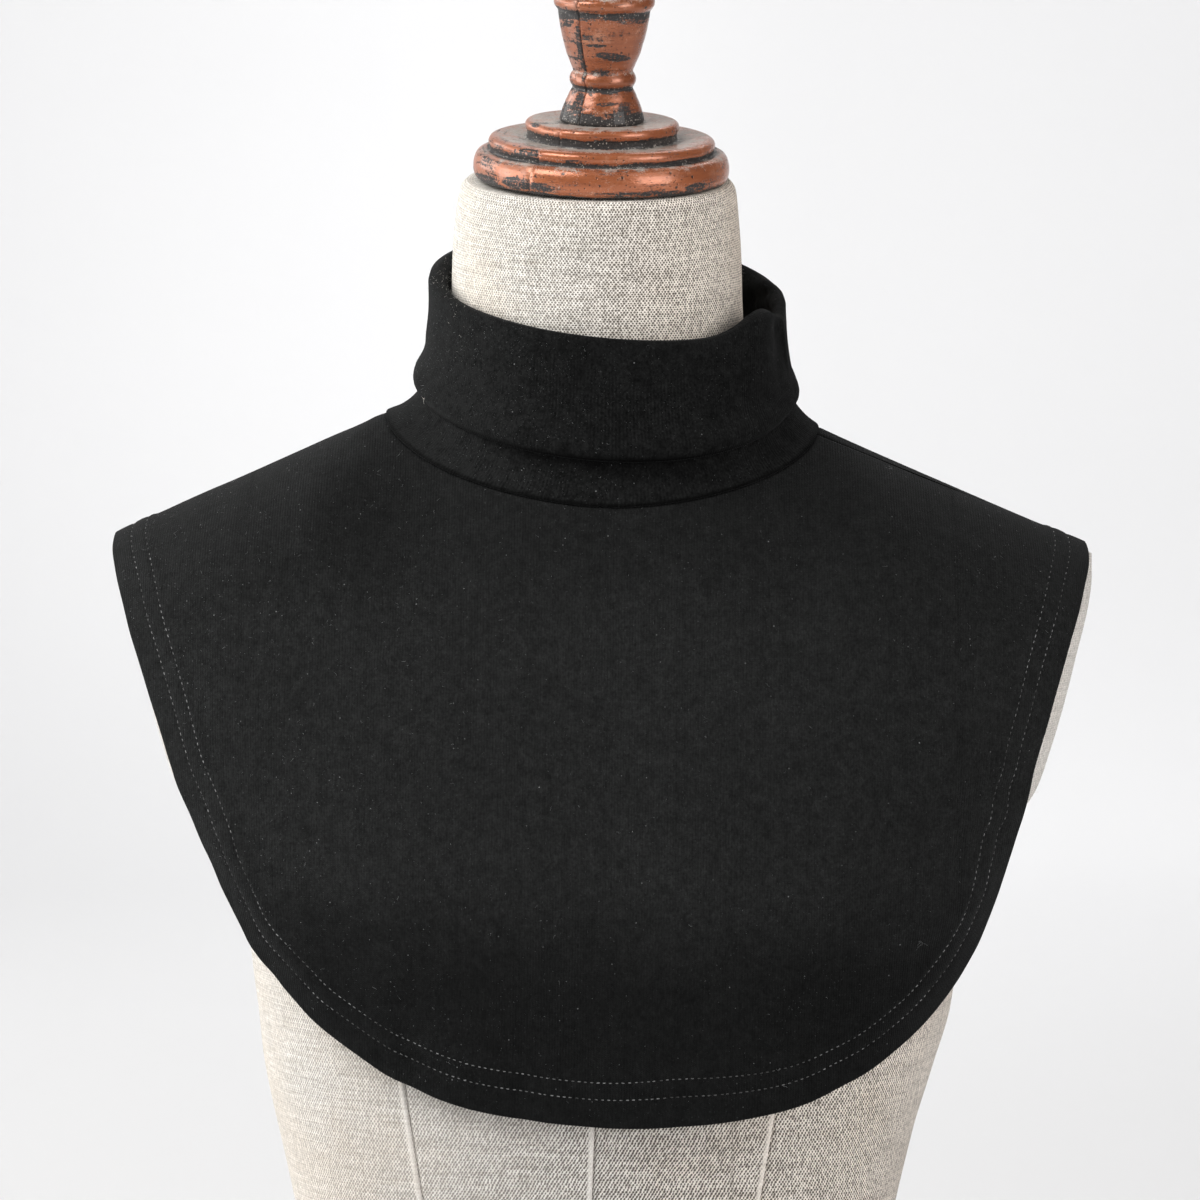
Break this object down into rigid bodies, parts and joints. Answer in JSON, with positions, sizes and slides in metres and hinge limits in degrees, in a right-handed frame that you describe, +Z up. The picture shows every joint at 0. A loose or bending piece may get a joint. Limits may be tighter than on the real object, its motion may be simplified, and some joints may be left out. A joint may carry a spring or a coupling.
{
  "type": "knitted turtleneck dickey collar on a limbless dress form",
  "caption": "Black knitted turtleneck collar with a rounded bib front and back, worn by a limbless linen dress form with a turned wooden neck cap and finial.",
  "frame": {"origin": "middle of the flat underside of the dress form, where it rests", "axes": "+Z up along the neck, -Y towards the front of the bib, +X to the garment's own left"},
  "size_m": [0.3898, 0.2067, 0.66],
  "materials": {
    "black_jersey_front": "matte, slightly napped fine-gauge knit",
    "black_jersey_back": "matte, slightly napped fine-gauge knit",
    "black_jersey_collar": "matte, slightly napped fine-gauge knit",
    "linen_torso": "plain-weave natural linen",
    "linen_neck": "plain-weave natural linen",
    "copper_brown_cap": "antique copper-brown paint, rubbed and dusty",
    "copper_brown_finial": "antique copper-brown paint, rubbed and dusty"
  },
  "bodies": {
    "root": {"front_bib": "black_jersey_front", "back_bib": "black_jersey_back", "collar": "black_jersey_collar", "form_torso": "linen_torso", "form_neck": "linen_neck", "neck_cap": "copper_brown_cap", "finial": "copper_brown_finial"}
  },
  "joints": []
}
